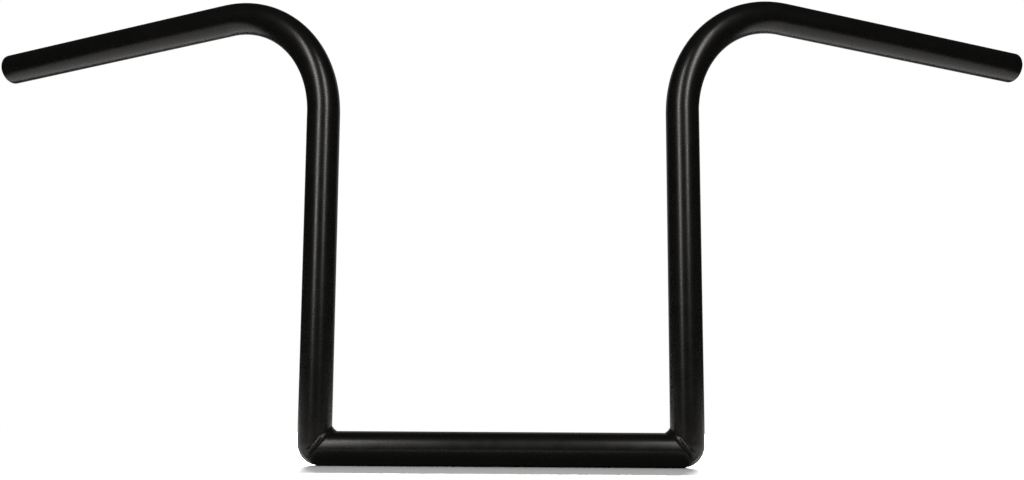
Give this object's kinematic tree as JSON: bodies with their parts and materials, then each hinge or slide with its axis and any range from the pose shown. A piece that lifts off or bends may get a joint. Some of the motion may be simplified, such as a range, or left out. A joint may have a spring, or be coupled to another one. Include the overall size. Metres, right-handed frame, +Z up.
{
  "type": "z-bar motorcycle handlebar",
  "caption": "Handlebar of round tube with a straight clamp section, upright risers at welded square corners, and arms bent outwards, back and slightly down.",
  "frame": {"origin": "centre of the straight clamp section, on its axis", "axes": "+X across the bar to the right as pictured, +Y back to the rider along the pullback, +Z up the risers"},
  "size_m": [0.895, 0.1424, 0.3663],
  "materials": {
    "satin_black": "satin black powder coat"
  },
  "bodies": {
    "root": {"centre_tube": "satin_black", "left_side_tube": "satin_black", "right_side_tube": "satin_black", "left_corner_weld": "satin_black", "right_corner_weld": "satin_black"}
  },
  "joints": []
}
